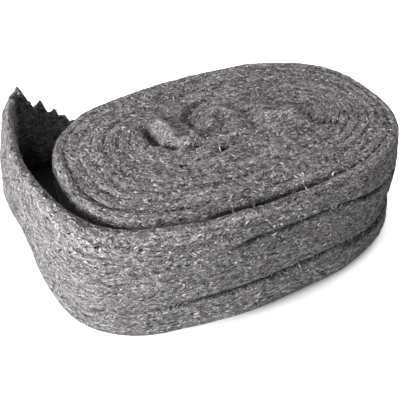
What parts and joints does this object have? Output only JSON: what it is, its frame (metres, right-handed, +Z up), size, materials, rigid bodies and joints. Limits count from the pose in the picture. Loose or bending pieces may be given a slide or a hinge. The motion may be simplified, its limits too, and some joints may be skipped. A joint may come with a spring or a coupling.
{
  "type": "steel wool roll",
  "caption": "Flattened roll of matted steel-wool strip standing on its edge, with a torn loose end that swings out round one end of the roll.",
  "frame": {"origin": "on the floor under the middle of the fold that the winding starts from", "axes": "+X along the roll's long axis, away from the loose end's side; +Y towards the back, where the loose end finishes; +Z up, along the strip's width"},
  "size_m": [0.3225, 0.2646, 0.1065],
  "materials": {
    "steel_wool": "matted fine steel fibre, dull grey with small bright glints"
  },
  "bodies": {
    "root": {"steel_wool_roll": "steel_wool"}
  },
  "joints": []
}
